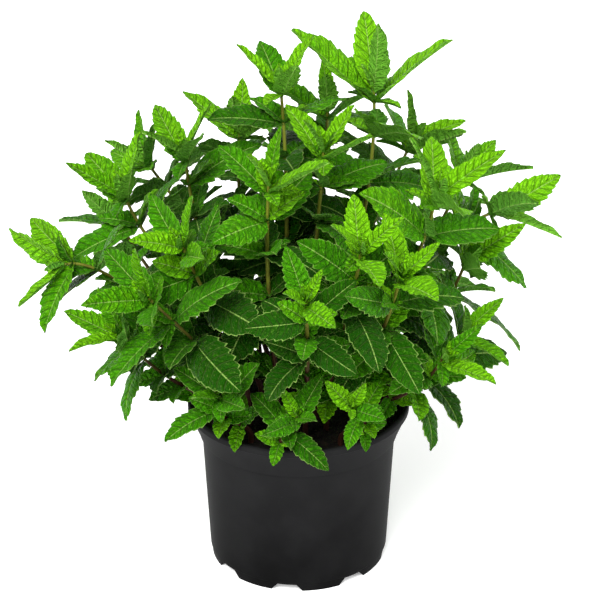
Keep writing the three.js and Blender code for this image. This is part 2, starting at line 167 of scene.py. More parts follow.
def turned_shell(name, profile, sides):
    """A round shell drawn up ring by ring from its first ring, with both ends closed."""
    pick()
    radius, height = profile[0]
    bpy.ops.mesh.primitive_circle_add(vertices=sides, radius=radius * MM, location=(0, 0, height * MM))
    piece = bpy.context.active_object
    piece.name = name
    bpy.ops.object.transform_apply(location=True, rotation=True, scale=True)
    bpy.ops.object.mode_set(mode="EDIT")
    bpy.ops.mesh.select_all(action="SELECT")
    bpy.ops.mesh.edge_face_add()
    mesh = bmesh.from_edit_mesh(piece.data)
    mesh.faces.ensure_lookup_table()
    mesh.faces[0].select_set(False)
    for edge in mesh.edges:
        edge.select_set(True)
    mesh.faces[0].select_set(True)
    bmesh.update_edit_mesh(piece.data)
    for next_radius, next_height in profile[1:]:
        lift = {"value": (0, 0, (next_height - height) * MM)}
        bpy.ops.mesh.extrude_region_move(TRANSFORM_OT_translate=lift)
        grow = next_radius / radius
        bpy.ops.transform.resize(value=(grow, grow, 1), center_override=(0, 0, 0))
        radius, height = next_radius, next_height
    bpy.ops.mesh.select_all(action="SELECT")
    bpy.ops.mesh.normals_make_consistent(inside=False)
    bpy.ops.object.mode_set(mode="OBJECT")
    return piece


collar_foot = POT_HEIGHT - COLLAR_HEIGHT
lip_foot = POT_HEIGHT - LIP_HEIGHT
inner_foot_radius = BODY_FOOT_RADIUS - WALL
inner_top_radius = BODY_TOP_RADIUS - WALL
inner_floor = FLOOR_RAISE + WALL
ledge = collar_foot - LEDGE_DROP
pot = turned_shell(
    "nursery_pot",
    [
        (PAD_RADIUS, 0),
        (PAD_RADIUS + FLOOR_RAISE, FLOOR_RAISE),
        (FOOT_RADIUS - FOOT_RING - RING_SLOPE, FLOOR_RAISE),
        (FOOT_RADIUS - FOOT_RING, 0),
        (FOOT_RADIUS, 0),
        (FOOT_RADIUS + DRAFT, FOOT_HEIGHT),
        (BODY_FOOT_RADIUS, FOOT_HEIGHT + FOOT_STEP),
        (BODY_TOP_RADIUS, collar_foot),
        (COLLAR_FOOT_RADIUS, collar_foot + COLLAR_STEP),
        (COLLAR_FOOT_RADIUS + DRAFT, collar_foot + COLLAR_BAND),
        (RIM_RADIUS - LIP_STEP, lip_foot - DRAFT),
        (RIM_RADIUS, lip_foot + COLLAR_STEP),
        (RIM_RADIUS, POT_HEIGHT - LIP_ROUND),
        (RIM_RADIUS - LIP_ROUND, POT_HEIGHT),
        (RIM_RADIUS - LIP_FLAT, POT_HEIGHT),
        (RIM_RADIUS - LIP_WIDTH, POT_HEIGHT - LIP_DROP),
        (inner_top_radius, ledge),
        (inner_foot_radius, inner_floor),
        (inner_foot_radius - FLOOR_RING, inner_floor),
    ],
    POT_SIDES,
)


def drain_cutter(angle):
    """A block with sloping ends, as wide as a notch, across the foot."""
    pick()
    top = FOOT_HEIGHT - DRAIN_ROOF
    bpy.ops.mesh.primitive_cube_add(size=1)
    cutter = bpy.context.active_object
    cutter.scale = (DRAIN_DEPTH * MM, DRAIN_WIDTH * MM, (top + DRAIN_BELOW) * MM)
    cutter.location = ((FOOT_RADIUS - FOOT_RING) * MM, 0, (top - DRAIN_BELOW) / 2 * MM)
    bpy.ops.object.transform_apply(location=True, rotation=True, scale=True)
    bpy.ops.object.mode_set(mode="EDIT")
    mesh = bmesh.from_edit_mesh(cutter.data)
    for face in mesh.faces:
        face.select_set(face.normal.z > 0.5)
    bmesh.update_edit_mesh(cutter.data)
    narrow = DRAIN_TOP_WIDTH / DRAIN_WIDTH
    bpy.ops.transform.resize(value=(1, narrow, 1), center_override=(0, 0, 0))
    bpy.ops.object.mode_set(mode="OBJECT")
    cutter.rotation_euler = (0, 0, angle)
    bpy.ops.object.transform_apply(location=True, rotation=True, scale=True)
    return cutter


cutters = [drain_cutter(math.radians(DRAIN_TURN + 360 / DRAINS * place)) for place in range(DRAINS)]
for number, cutter in enumerate(cutters):
    cut = pot.modifiers.new(f"drain {number}", "BOOLEAN")
    cut.object = cutter
    cut.operation = "DIFFERENCE"
    cut.solver = "EXACT"
apply_modifiers(pot)
for cutter in cutters:
    bpy.data.objects.remove(cutter)

edge_round = pot.modifiers.new("moulded edges", "BEVEL")
edge_round.width = EDGE_ROUND * MM
edge_round.segments = 2
edge_round.limit_method = "ANGLE"
edge_round.angle_limit = math.radians(SHARP_ANGLE)
apply_modifiers(pot)
bpy.ops.object.shade_smooth_by_angle(angle=math.radians(SMOOTH_ANGLE))

pot_plastic, wire = new_paint("charcoal pot plastic")
place = wire.node("ShaderNodeTexCoord", {}, {}, "Object")
cloud = wire.node("ShaderNodeTexNoise", {}, {"Vector": place, "Scale": 38.0, "Detail": 4.0}, "Fac")
grain = wire.node("ShaderNodeTexNoise", {}, {"Vector": place, "Scale": 2600.0, "Detail": 2.0}, "Fac")
specks = wire.node("ShaderNodeTexNoise", {}, {"Vector": place, "Scale": 900.0, "Detail": 3.0}, "Fac")
dust = specks.step(0.66, 0.76) * 0.25
height = wire.node("ShaderNodeSeparateXYZ", {}, {"Vector": place}, "Z")
# Painted shade and light: the plastic is darker towards the foot and paler towards the collar, with a
# random cloud of tone and dust specks.
shade = (height.step(0.0, 0.1) * 0.75 + cloud.step(0.3, 0.75) * 0.3 + dust).mixed(POT_BLACK, POT_GREY)
rough = 0.42 + 0.12 * cloud + 0.1 * dust
bump = wire.node("ShaderNodeBump", {}, {"Strength": 0.16, "Distance": 0.0002, "Height": grain}, "Normal")
plastic = wire.node(
    "ShaderNodeBsdfPrincipled",
    {},
    {"Base Color": shade, "Roughness": rough, "IOR": 1.06, "Specular IOR Level": 0.5, "Normal": bump},
)
wire.node("ShaderNodeOutputMaterial", {}, {"Surface": plastic})
pot.data.materials.append(pot_plastic)
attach(pot, "root")
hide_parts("pot")

# ---------------------------------------------------------------------------------------------
# Soil. Dark, moist peat compost fills the pot to just under its lip. Its top is crumbly and uneven,
# with paler flecks in it and loose crumbs on it. The stems stand in it.
# ---------------------------------------------------------------------------------------------

SOIL_TOP = 92.5
SOIL_CROWN = 1.6  # the soil is this much higher in the middle
SOIL_EDGE = 0.6  # and this much lower at the pot's wall
SOIL_SLACK = 0.2  # more clearance at the top, where the wall widens
SOIL_RINGS = 30
SOIL_SIDES = 96
MOUTH_WALL = 2.6  # thickness of the plain pot at its mouth
FIT = 0.35  # clearance to the pot
LUMPS = ((9, 1.5), (2.6, 0.9))  # size and depth of the large lumps and of the small ones
LUMP_LEVEL = 0.6  # of a lump's depth is below the smooth surface
LUMPY_DEPTH = 0.4  # points lower than this under the top stay smooth

CRUMBS = 900
CRUMB_SEED = 11
CRUMB_RADIUS = (0.4, 1.5)
CRUMB_FLATTEST = 0.55
CRUMB_STRETCH = 0.6
CRUMB_ROUGHNESS = 0.25
CRUMB_EDGE = 2  # no crumb lies nearer to the wall
CRUMB_SINK = 0.3
CRUMB_PERCH = 0.2  # of its radius, a larger crumb lies this much higher

SOIL_DARK = (0.0045, 0.0032, 0.0024, 1)
SOIL_BROWN = (0.028, 0.016, 0.009, 1)

soil_share = (SOIL_TOP - ledge) / (POT_HEIGHT - ledge)
soil_wall = inner_top_radius * (1 - soil_share) + (RIM_RADIUS - MOUTH_WALL) * soil_share
soil_radius = soil_wall - FIT - SOIL_SLACK
soil_edge = SOIL_TOP - SOIL_EDGE
soil_rings = [
    (inner_foot_radius - FLOOR_RING, inner_floor + FIT),
    (inner_foot_radius - FIT, inner_floor + FIT),
    (inner_top_radius - FIT, ledge),
    (soil_radius, soil_edge),
]
for ring in range(1, SOIL_RINGS):
    share = 1 - ring / SOIL_RINGS
    soil_rings.append((soil_radius * share, soil_edge + SOIL_CROWN * (1 - share**2)))
soil = turned_shell("potting_soil", soil_rings, SOIL_SIDES)

top_group = soil.vertex_groups.new(name="surface")
top_points = [v.index for v in soil.data.vertices if v.co.z > (SOIL_TOP - LUMPY_DEPTH) * MM]
top_group.add(top_points, 1.0, "REPLACE")
for size, depth in LUMPS:
    lumps = bpy.data.textures.new("soil lumps", "CLOUDS")
    lumps.noise_scale = size * MM
    rough_top = soil.modifiers.new("lumps", "DISPLACE")
    rough_top.texture = lumps
    rough_top.texture_coords = "LOCAL"
    rough_top.direction = "Z"
    rough_top.strength = depth * MM
    rough_top.mid_level = LUMP_LEVEL
    rough_top.vertex_group = "surface"
apply_modifiers(soil)
bpy.ops.object.shade_smooth()

soil_paint, wire = new_paint("moist peat soil")
place = wire.node("ShaderNodeTexCoord", {}, {}, "Object")
clods = wire.node("ShaderNodeTexNoise", {}, {"Vector": place, "Scale": 160.0, "Detail": 6.0}, "Fac")
fibre = wire.node("ShaderNodeTexVoronoi", {}, {"Vector": place, "Scale": 620.0}, "Distance")
shade = (clods.step(0.45, 0.72) * 0.7 + fibre.step(0.5, 0.9) * 0.3).mixed(SOIL_DARK, SOIL_BROWN)
height = clods * 0.7 + fibre * 0.3
bump = wire.node("ShaderNodeBump", {}, {"Strength": 0.9, "Distance": 0.0012, "Height": height}, "Normal")
peat = wire.node(
    "ShaderNodeBsdfPrincipled",
    {},
    {"Base Color": shade, "Roughness": 0.92, "Specular IOR Level": 0.25, "Normal": bump},
)
wire.node("ShaderNodeOutputMaterial", {}, {"Surface": peat})
soil.data.materials.append(soil_paint)
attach(soil, "root")
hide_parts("soil")


def new_object(name, data):
    """An object at the origin, shown in the scene."""
    made = bpy.data.objects.new(name, data)
    bpy.context.collection.objects.link(made)
    return made


pick()
bpy.ops.mesh.primitive_ico_sphere_add(subdivisions=1, radius=1)
crumb_blank = bpy.context.active_object
blank_points = np.array([v.co[:] for v in crumb_blank.data.vertices])
blank_faces = np.array([f.vertices[:] for f in crumb_blank.data.polygons])
bpy.data.objects.remove(crumb_blank)
chance = np.random.RandomState(CRUMB_SEED)
crumb_points = []
crumb_faces = []
for crumb in range(CRUMBS):
    reach = (soil_radius - CRUMB_EDGE) * math.sqrt(chance.rand())
    turn = chance.rand() * 2 * math.pi
    size = CRUMB_RADIUS[0] + (CRUMB_RADIUS[1] - CRUMB_RADIUS[0]) * chance.rand() ** 3
    shape = blank_points * (size * (CRUMB_FLATTEST + CRUMB_STRETCH * chance.rand(1, 3)))
    shape = shape * (1 + CRUMB_ROUGHNESS * (chance.rand(len(shape), 1) - 0.5))
    height = SOIL_TOP - CRUMB_SINK + SOIL_CROWN * (1 - (reach / soil_radius) ** 2)
    shape = shape + (reach * math.cos(turn), reach * math.sin(turn), height + CRUMB_PERCH * size)
    crumb_faces.append(blank_faces + len(blank_points) * crumb)
    crumb_points.append(shape)
crumb_mesh = bpy.data.meshes.new("soil_crumbs")
crumb_mesh.from_pydata((np.vstack(crumb_points) * MM).tolist(), [], np.vstack(crumb_faces).tolist())
crumbs = new_object("soil_crumbs", crumb_mesh)
crumb_mesh.materials.append(soil_paint)
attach(crumbs, "root")
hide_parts("soil")

# ---------------------------------------------------------------------------------------------
# Leafy stems. Living mint: square, downy stems, rooted in the soil, arch outwards with pairs of
# toothed leaves, each pair turned a quarter from the last, and side shoots where the leaves grow.
# The main leaves grow by the rule and draws of the solids, so that each lies on its own plain one.
# ---------------------------------------------------------------------------------------------

UPRIGHT = 2.6  # a stem bends only above this height over the soil's edge
STEM_RISE = 0.35  # it sets out straight up, towards a point at this share of its height
STEM_POINTS = 80
STALK_STEP = 2  # spacing of the points at which leaves are tested against stems
BUD_LENGTH = 1.5  # from the tip of a stem to its first pair of leaves
BARE_FOOT = 14  # no leaf grows nearer to the soil, along its stem
BLADE_CLEARANCE = 2.3  # between leaves of different stems
OWN_CLEARANCE = 1.15  # between leaves of one stem
STEM_CLEARANCE = 2.5
POT_CLEARANCE = 2
RIM_MIDDLE = RIM_RADIUS - 2
RIM_REACH = 4  # no leaf comes nearer to the middle of the rim's wall, below its clearance
LATTICE = 2.6  # spacing of the points at which leaves are tested against each other
BLADE_FOOT = 0.16  # the tested part of a leaf starts at this share of its length
TESTED_WIDTH = 1.04
OUTWARD = 90  # this far from the pot's middle the leaves face as much outwards as up
WINDOW = 0.5  # how much the light that leaves roll towards comes from the front
FACING = 0.5  # the share of the way that a leaf rolls towards that light
FULLNESS = 0.76  # a smaller power makes a leaf fuller towards its ends
TAPER = 0.8  # a smaller power moves its widest part towards its foot
DRAW_FACTOR = 16807
DRAW_RANGE = 2147483647
PAIR_LENGTH = [0, 0.92, 1, 1, 0.94, 0.86, 0.78]
PAIR_SPACING = [0.1, 0.34, 0.46, 0.54, 0.58, 0.6, 0.6]
PAIR_WIDTH = [0.17, 0.2, 0.22, 0.24, 0.26, 0.27, 0.28]
PAIR_SPREAD = [30, 50, 64, 72, 78, 82, 84]
PAIR_ARCH = [0.12, 0.28, 0.55, 0.8, 1, 1.1, 1.1]
FOLDED_PAIRS = 2  # the youngest pairs are still folded along the midrib
YOUNG_FOLD = 0.46
FOLD = 0.2
CURL = (0.1, 0.2)  # least curl, and how much more there may be
GROWN_PAIR = 4  # the leaves of this pair from the tip are full grown

# How far a leaf's measures may stray to either side, and the turn from one pair to the next.
STRAY = {"azimuth": 9, "spread": 9, "roll": 24, "length": 0.1, "width": 0.025}
STRAY |= {"arch": 0.22, "fold": 0.14, "sway": 0.07, "turn": 12}

# Turn, raise, roll and size of each try at a leaf that must not cross another.
TRIES = [
    [0, 0, 0, 1],
    [16, 0, 0, 1],
    [-16, 0, 0, 1],
    [0, 14, 0, 1],
    [0, -14, 0, 1],
    [0, 0, 22, 1],
    [0, 0, -22, 1],
    [28, 10, 0, 0.94],
    [-28, 10, 0, 0.94],
    [24, -16, 12, 0.9],
    [-24, -16, -12, 0.9],
    [0, 30, 0, 0.86],
    [0, -30, 0, 0.86],
    [40, 0, 25, 0.8],
    [-40, 0, -25, 0.8],
    [12, 20, 30, 0.68],
    [-12, -20, -30, 0.68],
    [0, -34, 0, 0.55],
    [30, 24, 0, 0.55],
    [-30, 24, 0, 0.55],
]

# Foot, lean point and tip of each stem, then its leaf length, the share of its top pair, its
# number of pairs, the turn of its top pair, how strongly its leaves face the light and its seed.
STEMS = [
    [[20, 12], [46, 30, 200], [43, 40, 276], 58, 1, 6, 100, 0.1, 207],
    [[-8, 16], [-4, 22, 210], [-10, 30, 282], 46, 0.85, 6, 0, 0.1, 206],
    [[30, -6], [66, -14, 170], [76, -16, 234], 54, 0.85, 6, 10, 0.3, 213],
    [[37, 16], [90, 29, 206], [116, 31, 205], 50, 0.9, 5, 0, 0.0, 201],
    [[-30, 2], [-86, 8, 184], [-99, 10, 226], 48, 0.85, 5, 10, 0.1, 206],
    [[-40, -10], [-106, -21, 203], [-130, -25, 197], 42, 0.95, 4, -10, 0.0, 224],
    [[-12, -22], [-20, -36, 180], [-16, -37, 250], 48, 0.7, 6, 70, 0.2, 107],
    [[4, -34], [6, -78, 150], [4, -100, 210], 36, 0.6, 5, 30, 0.3, 108],
    [[16, -26], [26, -60, 160], [33, -75, 226], 42, 0.75, 5, 10, 0.2, 213],
    [[32, -24], [42, -62, 150], [55, -72, 212], 44, 0.7, 5, 20, 0.3, 215],
    [[-28, -20], [-46, -44, 170], [-62, -58, 222], 46, 0.7, 5, 30, 0.4, 111],
    [[-36, -26], [-48, -66, 160], [-80, -76, 200], 46, 0.8, 4, 20, 0.6, 112],
    [[-34, 12], [-62, 34, 180], [-64, 18, 246], 46, 0.7, 5, 30, 0.3, 113],
    [[6, 34], [14, 52, 190], [17, 62, 256], 44, 0.8, 5, 90, 0.1, 217],
    [[-46, -22], [-70, -58, 130], [-96, -60, 170], 42, 0.8, 3, 60, 0.8, 115],
    [[43, -18], [66, -44, 116], [80, -54, 154], 38, 0.8, 4, 45, 0.8, 116],
    [[-10, -50], [-16, -76, 100], [0, -78, 130], 30, 0.8, 3, -50, 0.8, 117],
    [[24, -42], [52, -60, 100], [28, -82, 138], 26, 0.8, 3, 60, 0.8, 118],
    [[-27, -40], [-50, -68, 116], [-42, -78, 144], 36, 0.8, 3, 40, 0.8, 119],
    [[48, 4], [88, 18, 142], [96, 10, 184], 54, 0.8, 4, 10, 0.6, 120],
    [[-17, 38], [-62, 84, 172], [-92, 90, 214], 48, 0.7, 5, 45, 0.3, 121],
    [[17, 44], [50, 92, 180], [68, 100, 222], 54, 0.7, 4, 30, 0.3, 122],
    [[43, 27], [80, 76, 160], [100, 84, 208], 48, 0.7, 4, 60, 0.3, 212],
    [[0, 50], [-14, 110, 160], [-10, 132, 204], 48, 0.7, 4, 15, 0.4, 124],
    [[-43, 24], [-88, 62, 140], [-108, 74, 182], 50, 0.7, 4, 50, 0.4, 125],
    [[4, 4], [10, -6, 190], [14, -8, 258], 48, 0.65, 5, 45, 0.3, 126],
    [[-22, 22], [-40, 58, 190], [-34, 60, 244], 46, 0.7, 5, 70, 0.3, 127],
    [[30, 40], [66, 104, 110], [66, 116, 150], 48, 0.7, 3, 20, 0.7, 128],
    [[-32, 37], [-54, 100, 110], [-60, 112, 146], 48, 0.7, 3, 20, 0.7, 129],
    [[-20, -4], [-44, -6, 140], [-56, -14, 182], 40, 0.7, 4, 30, 0.3, 130],
    [[10, -12], [16, -24, 140], [18, -36, 186], 38, 0.7, 4, 60, 0.3, 131],
    [[47, -7], [80, -8, 110], [94, -14, 150], 42, 0.7, 4, 45, 0.5, 132],
    [[-44, 6], [-80, 0, 120], [-92, -10, 160], 42, 0.7, 4, 10, 0.5, 133],
]

# How finely a leaf is cut: its side veins, the rows of points to each and the points across a half.
FINE = {"veins": 9, "rows": 4, "across": [0, 0.05, 0.15, 0.3, 0.47, 0.64, 0.8, 0.92, 1]}
SHOOT = {"veins": 6, "rows": 3, "across": [0, 0.08, 0.28, 0.55, 0.8, 0.94, 1]}
BUD = {"veins": 4, "rows": 2, "across": [0, 0.15, 0.6, 1]}
SHOOT_LENGTH = 12  # shorter leaves are cut as buds
LEAF_THICKNESS = 0.34
LEAF_END = 0.998  # past this share of its length, a leaf is its tip
TIP_WIDTH = 0.12
ROOT_START = 0.02
ROOT_LENGTH = 0.1  # the blade widens to its full form along this share
STALK_WIDTH = 0.75  # half a leaf stalk's width, which grows by the flare towards its edge
STALK_FLARE = 0.2
VEIN_SLANT = 0.5
TOOTHED = (0.03, 0.985)  # the part of the edge that has teeth
TOOTH_RISE = 0.76  # of the way from one tooth to the next, a tooth grows out
TOOTH_FALL = 0.8
TOOTH_DEPTH = 0.15
TOOTH_LEAN = 0.014
TOOTH_MIDDLE = 0.55
UNEVENNESS = 0.45  # of the teeth's depth
SCATTER = (12.9898, 78.233)  # steps that make the depths of teeth look random
EDGE_STEP = 40  # between the teeth of the two edges, so that they differ
BLUNTNESS = 0.4  # how much broader an old leaf is towards its tip
BLUNT_FROM = 0.55
BLUNT_RATE = 2.5
QUILT_DEPTH = 0.045
WAVES = 2.6  # of the edge, along a leaf
WAVE_STEP = 0.37  # between the waves of two leaves
WAVE_DEPTH = 0.075
RIPPLE_DEPTH = 0.02
RIB_WIDTH = 0.07
RIB_DEPTH = 0.32
RIB_THICKENING = 1.2
NET_SQUEEZE = 0.75  # the fine net of veins is this much narrower across a leaf
NET_STEP = 7.3  # between the nets of two leaves, so that no two are alike

# Leaf length as a share of the stem's longest, and spread, of the two pairs wrapped round a tip.
TIP_PAIRS = ((0.3, 20), (0.17, 12))
TIP_LEAF = {"width": 0.24, "arch": 0.15, "fold": 0.5, "curl": 0.1, "sway": 0}
TIP_AGE = -0.1

# Side angle, spread and size of the three leaves of a side shoot.
SIDE_LEAVES = ((-40, 44, 1.0), (40, 44, 0.9), (0, 24, 0.7))
SHOOT_LEAF = {"width": 0.27, "arch": 0.5, "fold": 0.35, "curl": 0.1, "sway": 0}
SHOOT_SHARE = 0.3  # of the stem's longest leaf
SHOOT_GAIN = 0.12  # for each pair further down
SHOOT_AGE = 0.1
LONGEST_SHOOT = 34
SHOOT_FOOT = 1.2  # a side shoot starts this far above its pair
NEARBY = 6  # leaves farther than this past a shoot's reach are left out of its tests
LOW_SPACING = 17  # between the shoots low on a stem
LOW_PAIR = 2  # the pair whose shoots they are like

# Size and lean of each try at a leaf of a side shoot. If none is clear, the last one stays.
SHOOT_TRIES = [(1, 0), (1, 20), (1, -14), (1, 36), (0.75, 0), (0.75, 20), (0.75, 36)]
SHOOT_TRIES += [(0.55, 0), (0.55, 20), (0.55, -14), (0.4, 0), (0.4, 20), (0.25, 0)]

CANE_FOOT_RADIUS = 1.5
CANE_TIP_RADIUS = 0.75
CANE_STEPS = 40
CANE_CORNERS = 12
CANE_SQUARENESS = 0.13
CANE_BURIED = 6  # length in the soil
HAIRS = 360
HAIR_SEED = 400
HAIR_LENGTH = (0.4, 0.9)
HAIR_RADIUS = 0.05
HAIR_CORNERS = (0, 2.1, 4.2)  # round its foot, in radians
HAIR_LEAN = 0.5
HAIR_STRAY = 0.6
HAIRY_SHARE = 0.62  # of a stem, from its tip down
ROOTING = 0.9  # of the stem's radius, where a hair starts
LEAF_NUMBERS = 40  # each stem's leaves are numbered from a multiple of this
TONE_SEED = 23
SHADY_TONE = 0.12
SUNNY_TONE = -0.5
SUNNY = (1, 3, 4, 9, 10, 16, 18, 20, 22, 23)  # numbers of the stems with paler leaves

LEAF_YOUNG = (0.25, 0.7, 0.006, 1)
LEAF_FRESH = (0.062, 0.31, 0.0008, 1)
LEAF_OLD = (0.009, 0.068, 0.0003, 1)
# Painted shade, for the grooves on a leaf's upper side.
LEAF_GROOVE_SHADE = (0.001, 0.04, 0.0008, 1)
# Painted highlight, for the middle of each quilted cell.
LEAF_LIT = (0.52, 0.86, 0.16, 1)
LEAF_GLOW = (0.27, 0.62, 0.01, 1)
VEIN_PALE = (0.42, 0.66, 0.15, 1)
UNDER_PALE = (0.13, 0.36, 0.045, 1)
CANE_GREEN = (0.15, 0.17, 0.015, 1)
CANE_BROWN = (0.035, 0.011, 0.006, 1)


def draws_from(seed):
    """A repeatable draw between 0 and 1."""
    state = [seed]

    def draw():
        state[0] = state[0] * DRAW_FACTOR % DRAW_RANGE
        return state[0] / DRAW_RANGE

    draw()
    draw()
    return draw


def unit(vector):
    """The same direction at length 1."""
    return vector / math.sqrt(float(vector @ vector))


class Stem:
    """One stem's route from the soil to its tip."""

    def __init__(self, row):
        foot, lean, tip, self.long, self.crown, self.pairs, self.turn, self.sky, self.seed = row
        root = np.array([foot[0], foot[1], SOIL_TOP + UPRIGHT], float)
        rise = root.copy()
        rise[2] = SOIL_TOP + (tip[2] - SOIL_TOP) * STEM_RISE
        lean = np.array(lean, float)
        tip = np.array(tip, float)
        points = []
        for place in range(STEM_POINTS + 1):
            t = place / STEM_POINTS
            k = 1 - t
            lower = k * k * k * root + 3 * k * k * t * rise
            points.append(lower + 3 * k * t * t * lean + t * t * t * tip)
        self.points = np.array(points)
        steps = np.sqrt(((self.points[1:] - self.points[:-1]) ** 2).sum(1))
        self.run = np.concatenate([[0], np.cumsum(steps)])
        self.length = float(self.run[-1])

    def at(self, from_tip):
        """Place and direction at a distance from the tip."""
        here = self.length - from_tip
        i = 1
        while i < len(self.run) - 1 and self.run[i] < here:
            i += 1
        share = (here - self.run[i - 1]) / (self.run[i] - self.run[i - 1])
        place = self.points[i - 1] + (self.points[i] - self.points[i - 1]) * share
        return place, unit(self.points[i] - self.points[i - 1])


def leaf_shape(s):
    """Half width of a leaf along its length, as a share of the widest."""
    return np.sin(np.pi * np.clip(s, 0, 1) ** TAPER).clip(0) ** FULLNESS


def leaf_points(leaf, s, half, lift=0.0):
    """Points of a leaf: s along it, half its distance from the midrib in mm, lift over its face."""
    bend = leaf["arch"] * s
    reach = s if leaf["arch"] == 0 else np.sin(bend) / leaf["arch"]
    drop = 0 * s if leaf["arch"] == 0 else (1 - np.cos(bend)) / leaf["arch"]
    lift = lift + leaf["fold"] * np.abs(half) - leaf["curl"] * half * half / leaf["half"]
    sideways = half + leaf["sway"] * leaf["length"] * s * s
    out = (leaf["length"] * reach + lift * np.sin(bend))[:, None] * leaf["out"]
    face = (lift * np.cos(bend) - leaf["length"] * drop)[:, None] * leaf["face"]
    return leaf["root"] + out + face + sideways[:, None] * leaf["side"]


def lattice_of(leaf):
    """The points at which a leaf is tested against the others."""
    blade = 1 - BLADE_FOOT
    rows = math.ceil(leaf["length"] * blade / LATTICE)
    columns = 2 * math.ceil(leaf["half"] / LATTICE)
    s = BLADE_FOOT + blade * np.arange(rows + 1) / rows
    w = 2 * np.arange(columns + 1) / columns - 1
    across = (TESTED_WIDTH * leaf_shape(s))[:, None] * w[None, :]
    along = np.repeat(s, columns + 1)
    return leaf_points(leaf, along, leaf["half"] * across.ravel())


blade_points = np.zeros((0, 3))
blade_owner = np.zeros(0, int)
stems = [Stem(row) for row in STEMS]
stalks = [[stem.at(place)[0] for place in np.arange(0, stem.length, STALK_STEP)] for stem in stems]
stalk_points = np.vstack(stalks)
stalk_owner = np.repeat(np.arange(len(stems)), [len(stalk) for stalk in stalks])


def too_near(points, others, clearance):
    """Whether any point lies nearer to another than that one's clearance."""
    widest = float(clearance.max()) if len(clearance) else 0
    inside = ((others > points.min(0) - widest) & (others < points.max(0) + widest)).all(1)
    if not inside.any():
        return False
    gaps = ((points[:, None] - others[inside][None]) ** 2).sum(2)
    return bool((gaps < clearance[inside][None] ** 2).any())


def is_clear(points, number, near=slice(None)):
    """Whether a leaf's points keep their distance from the pot, the near leaves and the other stems."""
    height = points[:, 2]
    radius = np.hypot(points[:, 0], points[:, 1])
    over_pot = radius < RIM_RADIUS + POT_CLEARANCE
    over_rim = np.abs(radius - RIM_MIDDLE) < RIM_REACH
    in_soil = over_pot & (height < SOIL_TOP + SOIL_CROWN + POT_CLEARANCE)
    in_rim = over_rim & (height < POT_HEIGHT + POT_CLEARANCE)
    if in_soil.any() or in_rim.any():
        return False
    clearance = np.where(blade_owner[near] == number, OWN_CLEARANCE, BLADE_CLEARANCE)
    if too_near(points, blade_points[near], clearance):
        return False
    others = stalk_points[stalk_owner != number]
    return not too_near(points, others, np.full(len(others), STEM_CLEARANCE))


def place_leaf(place, along, sky, azimuth, spread, roll):
    """A leaf's own axes: out along its root, face up from its upper side, side across it."""
    outward = np.array([place[0], place[1], 0]) / OUTWARD
    distance = math.sqrt(float(outward @ outward))
    if distance > 1:
        outward = outward / distance
    light = unit(outward + (0, 0, 1))
    axis = unit(along + (light - along) * sky)
    right = unit(np.array([1, 0, 0]) - axis * axis[0])
    back = np.cross(axis, right)
    away = right * math.cos(azimuth) + back * math.sin(azimuth)
    out = axis * math.cos(spread) + away * math.sin(spread)
    face = axis * math.sin(spread) - away * math.cos(spread)
    side = np.cross(face, out)
    window = unit(outward + (0, -WINDOW, 1))
    roll += FACING * math.atan2(-float(side @ window), float(face @ window))
    face = face * math.cos(roll) - side * math.sin(roll)
    return {"root": place, "out": out, "face": face, "side": np.cross(face, out)}


def add_blade(points, number):
    """Keeps a leaf's points, so that later leaves grow clear of them."""
    global blade_points, blade_owner
    blade_points = np.vstack([blade_points, points])
    blade_owner = np.concatenate([blade_owner, np.full(len(points), number)])


def grow_leaf(number, stem, node, plan):
    """The first try of a leaf that is clear of all that has grown."""
    for turn, lift, roll, size in TRIES:
        length = plan["length"] * size
        angles = (plan["azimuth"] + turn, plan["spread"] - lift, plan["roll"] + roll)
        leaf = place_leaf(*node, stem.sky, *map(math.radians, angles))
        leaf |= {"length": length, "half": length * plan["width"]}
        leaf |= {key: plan[key] for key in ("arch", "fold", "curl", "sway")}
        points = lattice_of(leaf)
        if is_clear(points, number):
            add_blade(points, number)
            return leaf
    return None


def grow_stem(number, stem):
    """The leaves of one stem, from its tip down, and the nodes where leaves or shoots grow."""
    draw = draws_from(stem.seed)

    def stray(measure):
        return (draw() * 2 - 1) * STRAY[measure]

    leaves = []
    nodes = []
    from_tip = BUD_LENGTH
    azimuth = stem.turn
    for pair in range(stem.pairs):
        if from_tip >= stem.length - BARE_FOOT:
            break
        node = stem.at(from_tip)
        nodes.append((node, azimuth, pair))
        for half in (0, 180):
            plan = {"azimuth": azimuth + half + stray("azimuth")}
            plan["spread"] = PAIR_SPREAD[pair] + stray("spread")
            plan["roll"] = stray("roll")
            plan["length"] = stem.long * max(stem.crown, PAIR_LENGTH[pair]) * (1 + stray("length"))
            plan["width"] = PAIR_WIDTH[pair] + stray("width")
            plan["arch"] = PAIR_ARCH[pair] + stray("arch")
            plan["fold"] = YOUNG_FOLD if pair < FOLDED_PAIRS else FOLD + stray("fold")
            plan["curl"] = CURL[0] + draw() * CURL[1]
            plan["sway"] = stray("sway")
            leaf = grow_leaf(number, stem, node, plan)
            if leaf:
                leaf["age"] = pair / GROWN_PAIR
                leaves.append(leaf)
        from_tip += stem.long * PAIR_SPACING[pair]
        azimuth += 90 + stray("turn")
    while from_tip < stem.length - BARE_FOOT:
        nodes.append((stem.at(from_tip), azimuth, LOW_PAIR))
        from_tip += LOW_SPACING
        azimuth += 90
    return leaves, nodes


